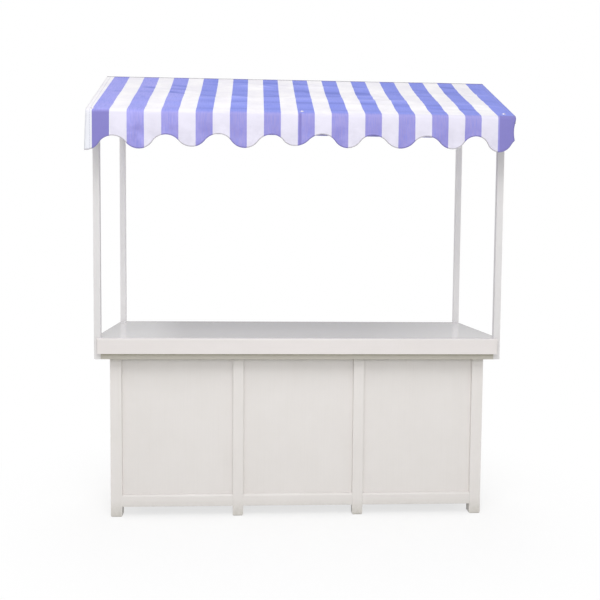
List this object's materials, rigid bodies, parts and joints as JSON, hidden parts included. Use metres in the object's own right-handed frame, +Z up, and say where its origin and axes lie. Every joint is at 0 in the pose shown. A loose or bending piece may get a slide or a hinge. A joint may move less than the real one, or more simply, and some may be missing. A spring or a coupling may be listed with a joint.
{
  "type": "wooden market stall",
  "caption": "White painted wooden stall: panelled counter on legs, slim posts and a gabled, blue and white striped cloth canopy with a scalloped front edge.",
  "frame": {"origin": "on the ground, in the middle of the stall's outline in plan", "axes": "+X along the counter to the right as a customer faces it, +Y from the customer's side to the back, +Z up"},
  "size_m": [2.13, 1.12, 2.385],
  "materials": {
    "frame_paint": "satin white paint",
    "panel_paint": "satin white paint",
    "fascia_paint": "satin white paint",
    "top_gloss": "glossy pale grey paint",
    "post_paint": "satin white paint",
    "cover_cloth": "woven, striped"
  },
  "bodies": {
    "root": {"front_left_leg": "frame_paint", "front_right_leg": "frame_paint", "rear_left_leg": "frame_paint", "rear_right_leg": "frame_paint", "front_mid_leg_left": "frame_paint", "front_mid_leg_right": "frame_paint", "rear_mid_leg_left": "frame_paint", "rear_mid_leg_right": "frame_paint", "front_bottom_rail": "frame_paint", "rear_bottom_rail": "frame_paint", "left_bottom_rail": "frame_paint", "right_bottom_rail": "frame_paint", "front_top_rail": "frame_paint", "rear_top_rail": "frame_paint", "end_top_rails": "frame_paint", "front_counter_rail": "frame_paint", "rear_counter_rail": "frame_paint", "left_counter_rail": "frame_paint", "right_counter_rail": "frame_paint", "front_panel_left": "panel_paint", "front_panel_middle": "panel_paint", "front_panel_right": "panel_paint", "rear_panel_left": "panel_paint", "rear_panel_middle": "panel_paint", "rear_panel_right": "panel_paint", "left_panel": "panel_paint", "right_panel": "panel_paint", "front_fascia": "fascia_paint", "rear_fascia": "fascia_paint", "counter_top": "top_gloss", "front_left_post": "post_paint", "front_right_post": "post_paint", "rear_left_post": "post_paint", "rear_right_post": "post_paint", "ridge_rail": "post_paint", "front_eave_rail": "post_paint", "rear_eave_rail": "post_paint", "front_post_rail": "post_paint", "front_rafters": "post_paint", "rear_rafters": "post_paint", "end_ties": "post_paint", "canopy_front_slope": "cover_cloth", "canopy_rear_slope": "cover_cloth", "front_valance": "cover_cloth", "rear_hem": "cover_cloth"}
  },
  "joints": []
}
